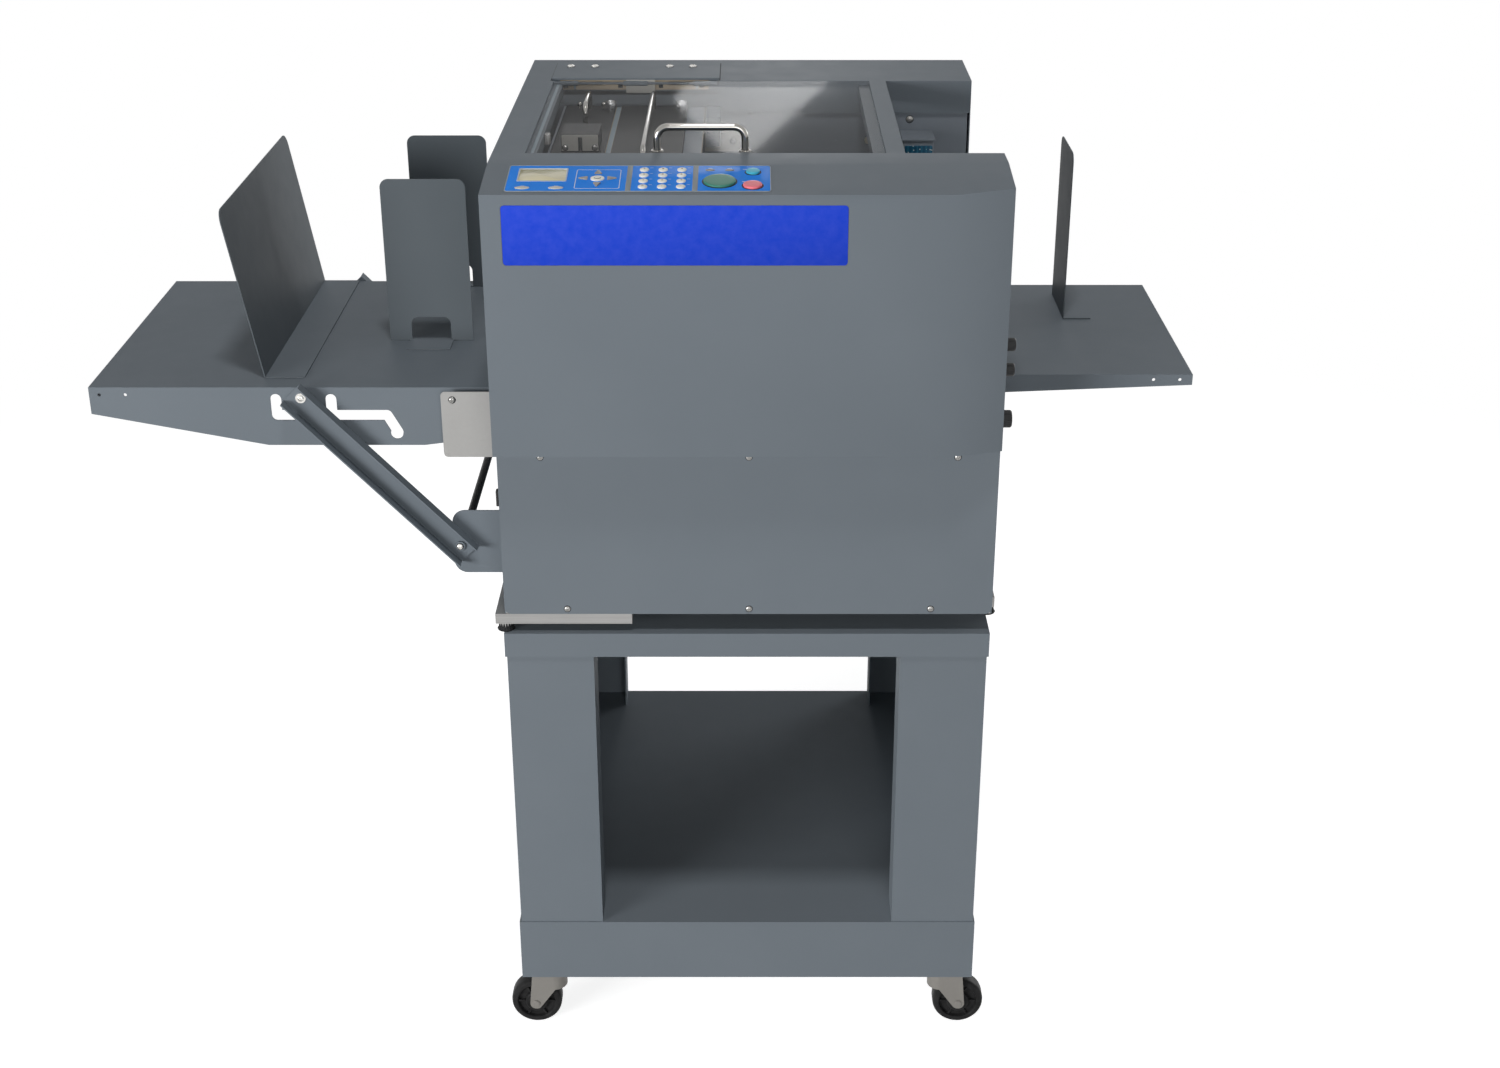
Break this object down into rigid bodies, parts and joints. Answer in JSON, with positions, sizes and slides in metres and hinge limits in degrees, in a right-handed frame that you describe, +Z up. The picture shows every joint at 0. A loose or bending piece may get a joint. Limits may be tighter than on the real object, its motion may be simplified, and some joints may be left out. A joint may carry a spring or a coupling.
{
  "type": "paper creasing machine",
  "caption": "Floor-standing sheet creaser on a wheeled cart: tilting feed tray with stops and guides at one end, output tray at the other, smoked lid and sloped operating strip on top.",
  "frame": {"origin": "on the floor, under the middle of the overall box", "axes": "+X along the paper's way, from the feed tray to the output tray; +Y from the operator's side to the back; +Z up"},
  "size_m": [1.254, 0.622, 1.1379],
  "materials": {
    "body_paint": "satin blue-grey powder coat",
    "dark_paint": "satin dark grey powder coat",
    "black_paint": "satin black paint",
    "body_plastic": "satin blue-grey moulded shell",
    "plated_steel": "bright zinc plate",
    "ground_steel": "ground steel",
    "chrome_rod": "polished chrome",
    "wheel_rubber": "black rubber tread",
    "roller_rubber": "matt black rubber",
    "black_plastic": "matt black plastic",
    "blue_film": "glossy blue film",
    "smoked_plastic": "clear smoked plastic",
    "green_plastic": "glossy green",
    "red_plastic": "glossy pinkish red",
    "teal_plastic": "glossy teal"
  },
  "bodies": {
    "machine": {"cart_base": "body_paint", "cart_frame": "body_paint", "left_foot_rail": "plated_steel", "right_foot_rail": "plated_steel", "base_pan": "plated_steel", "lower_front_cover": "body_paint", "left_side_cover": "body_paint", "right_side_cover": "body_paint", "front_housing": "body_plastic", "operating_strip": "blue_film", "lid_rail": "body_paint", "rear_housing": "body_paint", "lid_hinge_plate": "body_paint", "front_frame": "ground_steel", "rear_frame": "ground_steel", "drive_belt": "roller_rubber", "paper_guide": "ground_steel", "creasing_die": "ground_steel", "drive_motor": "black_paint", "intake_unit_cover": "black_paint", "intake_unit_handle": "chrome_rod", "crease_unit_cover": "black_paint", "crease_unit_handle": "chrome_rod", "front_tray_bracket": "plated_steel", "rear_tray_bracket": "plated_steel", "front_arm_bracket": "body_paint", "rear_arm_bracket": "body_paint", "stay_bar": "black_paint", "output_tray": "body_paint"},
    "lid": {"lid_panel": "smoked_plastic", "lid_handle": "chrome_rod"},
    "tray": {"feed_tray": "body_paint"},
    "front_arm": {"front_support_arm": "body_paint"},
    "rear_arm": {"rear_support_arm": "body_paint"},
    "end_stop": {"feed_end_stop": "dark_paint"},
    "front_guide": {"front_side_guide": "dark_paint"},
    "rear_guide": {"rear_side_guide": "dark_paint"},
    "output_stop": {"output_end_stop": "dark_paint"},
    "cams": {"cam_shaft": "ground_steel"},
    "blade": {"creasing_blade": "ground_steel"},
    "pinion": {"drive_pinion": "ground_steel"},
    "feeder": {"feed_roller": "roller_rubber"},
    "intake_lower": {"intake_roller_lower": "ground_steel"},
    "intake_upper": {"intake_roller_upper": "roller_rubber"},
    "exit_lower": {"exit_roller_lower": "ground_steel"},
    "exit_upper": {"exit_roller_upper": "roller_rubber"},
    "start_key": {"start_button": "green_plastic"},
    "stop_key": {"stop_button": "red_plastic"},
    "clear_key": {"clear_button": "teal_plastic"},
    "knob_upper": {"upper_side_knob": "black_plastic"},
    "knob_middle": {"middle_side_knob": "black_plastic"},
    "knob_lower": {"lower_side_knob": "black_plastic"},
    "fork_front_left": {"caster_fork_front_left": "plated_steel"},
    "fork_front_right": {"caster_fork_front_right": "plated_steel"},
    "fork_rear_left": {"caster_fork_rear_left": "plated_steel"},
    "fork_rear_right": {"caster_fork_rear_right": "plated_steel"},
    "wheel_front_left": {"caster_wheel_front_left": "wheel_rubber"},
    "wheel_front_right": {"caster_wheel_front_right": "wheel_rubber"},
    "wheel_rear_left": {"caster_wheel_rear_left": "wheel_rubber"},
    "wheel_rear_right": {"caster_wheel_rear_right": "wheel_rubber"}
  },
  "joints": [
    {"name": "lid_hinge", "type": "hinge", "parent": "machine", "child": "lid", "pos_m": [0.0735, 0.1885, 1.1035], "axis": [-1, 0, 0], "range_deg": [0, 100]},
    {"name": "feed_tray_tilt", "type": "hinge", "parent": "machine", "child": "tray", "pos_m": [-0.215, 0.0075, 0.8303], "axis": [0, 1, 0], "range_deg": [-8, 11.8]},
    {"name": "front_arm_swing", "type": "hinge", "parent": "machine", "child": "front_arm", "pos_m": [-0.2163, -0.196, 0.6473], "axis": [0, 1, 0], "range_deg": [-8, 11.7]},
    {"name": "rear_arm_swing", "type": "hinge", "parent": "machine", "child": "rear_arm", "pos_m": [-0.2163, 0.211, 0.6473], "axis": [0, 1, 0], "range_deg": [-8, 11.7]},
    {"name": "feed_end_stop_slide", "type": "slide", "parent": "tray", "child": "end_stop", "axis": [1, 0, 0], "range_m": [-0.18, 0.07]},
    {"name": "front_guide_slide", "type": "slide", "parent": "tray", "child": "front_guide", "axis": [0, 1, 0], "range_m": [-0.125, 0.12]},
    {"name": "rear_guide_slide", "type": "slide", "parent": "tray", "child": "rear_guide", "axis": [0, 1, 0], "range_m": [-0.08, 0.003]},
    {"name": "output_stop_slide", "type": "slide", "parent": "machine", "child": "output_stop", "axis": [1, 0, 0], "range_m": [-0.1, 0.07]},
    {"name": "cam_turn", "type": "hinge", "parent": "machine", "child": "cams", "pos_m": [-0.00265, 0, 0.97742], "axis": [0, 1, 0], "range_deg": [0, 180]},
    {"name": "blade_stroke", "type": "slide", "parent": "machine", "child": "blade", "axis": [0.3746, 0, -0.9272], "range_m": [0, 0.0041]},
    {"name": "pinion_turn", "type": "hinge", "parent": "machine", "child": "pinion", "pos_m": [0.05285, 0.197, 0.97742], "axis": [0, 1, 0], "range_deg": [-481, 1]},
    {"name": "feed_roller_turn", "type": "hinge", "parent": "machine", "child": "feeder", "pos_m": [-0.128, 0, 0.8245], "axis": [0, 1, 0], "continuous": true},
    {"name": "intake_lower_turn", "type": "hinge", "parent": "machine", "child": "intake_lower", "pos_m": [-0.06426, 0, 0.84694], "axis": [0, 1, 0], "continuous": true},
    {"name": "intake_upper_turn", "type": "hinge", "parent": "machine", "child": "intake_upper", "pos_m": [-0.07415, 0, 0.87142], "axis": [0, 1, 0], "continuous": true},
    {"name": "exit_lower_turn", "type": "hinge", "parent": "machine", "child": "exit_lower", "pos_m": [0.18979, 0, 0.94959], "axis": [0, 1, 0], "continuous": true},
    {"name": "exit_upper_turn", "type": "hinge", "parent": "machine", "child": "exit_upper", "pos_m": [0.1799, 0, 0.97406], "axis": [0, 1, 0], "continuous": true},
    {"name": "start_press", "type": "slide", "parent": "machine", "child": "start_key", "axis": [0, -0.1288, 0.9917], "range_m": [-0.0015, 0], "stiffness_N_per_m": 600, "springref_m": 0.001},
    {"name": "stop_press", "type": "slide", "parent": "machine", "child": "stop_key", "axis": [0, -0.1288, 0.9917], "range_m": [-0.0015, 0], "stiffness_N_per_m": 600, "springref_m": 0.001},
    {"name": "clear_press", "type": "slide", "parent": "machine", "child": "clear_key", "axis": [0, -0.1288, 0.9917], "range_m": [-0.0015, 0], "stiffness_N_per_m": 600, "springref_m": 0.001},
    {"name": "upper_knob_turn", "type": "hinge", "parent": "machine", "child": "knob_upper", "pos_m": [0.405, -0.244, 0.911], "axis": [1, 0, 0], "range_deg": [-150, 150]},
    {"name": "middle_knob_turn", "type": "hinge", "parent": "machine", "child": "knob_middle", "pos_m": [0.405, -0.244, 0.882], "axis": [1, 0, 0], "range_deg": [-150, 150]},
    {"name": "lower_knob_turn", "type": "hinge", "parent": "machine", "child": "knob_lower", "pos_m": [0.405, -0.244, 0.824], "axis": [1, 0, 0], "range_deg": [-150, 150]},
    {"name": "front_left_swivel", "type": "hinge", "parent": "machine", "child": "fork_front_left", "pos_m": [-0.1265, -0.23, 0.09], "axis": [0, 0, 1], "continuous": true},
    {"name": "front_right_swivel", "type": "hinge", "parent": "machine", "child": "fork_front_right", "pos_m": [0.3625, -0.23, 0.09], "axis": [0, 0, 1], "continuous": true},
    {"name": "rear_left_swivel", "type": "hinge", "parent": "machine", "child": "fork_rear_left", "pos_m": [-0.1265, 0.245, 0.09], "axis": [0, 0, 1], "continuous": true},
    {"name": "rear_right_swivel", "type": "hinge", "parent": "machine", "child": "fork_rear_right", "pos_m": [0.3625, 0.245, 0.09], "axis": [0, 0, 1], "continuous": true},
    {"name": "front_left_roll", "type": "hinge", "parent": "fork_front_left", "child": "wheel_front_left", "pos_m": [-0.1489, -0.23, 0.03175], "axis": [0, 1, 0], "continuous": true},
    {"name": "front_right_roll", "type": "hinge", "parent": "fork_front_right", "child": "wheel_front_right", "pos_m": [0.3849, -0.23, 0.03175], "axis": [0, 1, 0], "continuous": true},
    {"name": "rear_left_roll", "type": "hinge", "parent": "fork_rear_left", "child": "wheel_rear_left", "pos_m": [-0.1489, 0.245, 0.03175], "axis": [0, 1, 0], "continuous": true},
    {"name": "rear_right_roll", "type": "hinge", "parent": "fork_rear_right", "child": "wheel_rear_right", "pos_m": [0.3849, 0.245, 0.03175], "axis": [0, 1, 0], "continuous": true}
  ],
  "couplings": [
    {"joint": "front_arm_swing", "follows": "feed_tray_tilt", "ratio": 0.97},
    {"joint": "rear_arm_swing", "follows": "feed_tray_tilt", "ratio": 0.97},
    {"joint": "blade_stroke", "follows": "cam_turn", "m_per_rad": 0.0012732},
    {"joint": "pinion_turn", "follows": "cam_turn", "ratio": -2.6667},
    {"joint": "intake_lower_turn", "follows": "feed_roller_turn", "ratio": 1},
    {"joint": "intake_upper_turn", "follows": "feed_roller_turn", "ratio": -1},
    {"joint": "exit_lower_turn", "follows": "feed_roller_turn", "ratio": 1},
    {"joint": "exit_upper_turn", "follows": "feed_roller_turn", "ratio": -1}
  ]
}
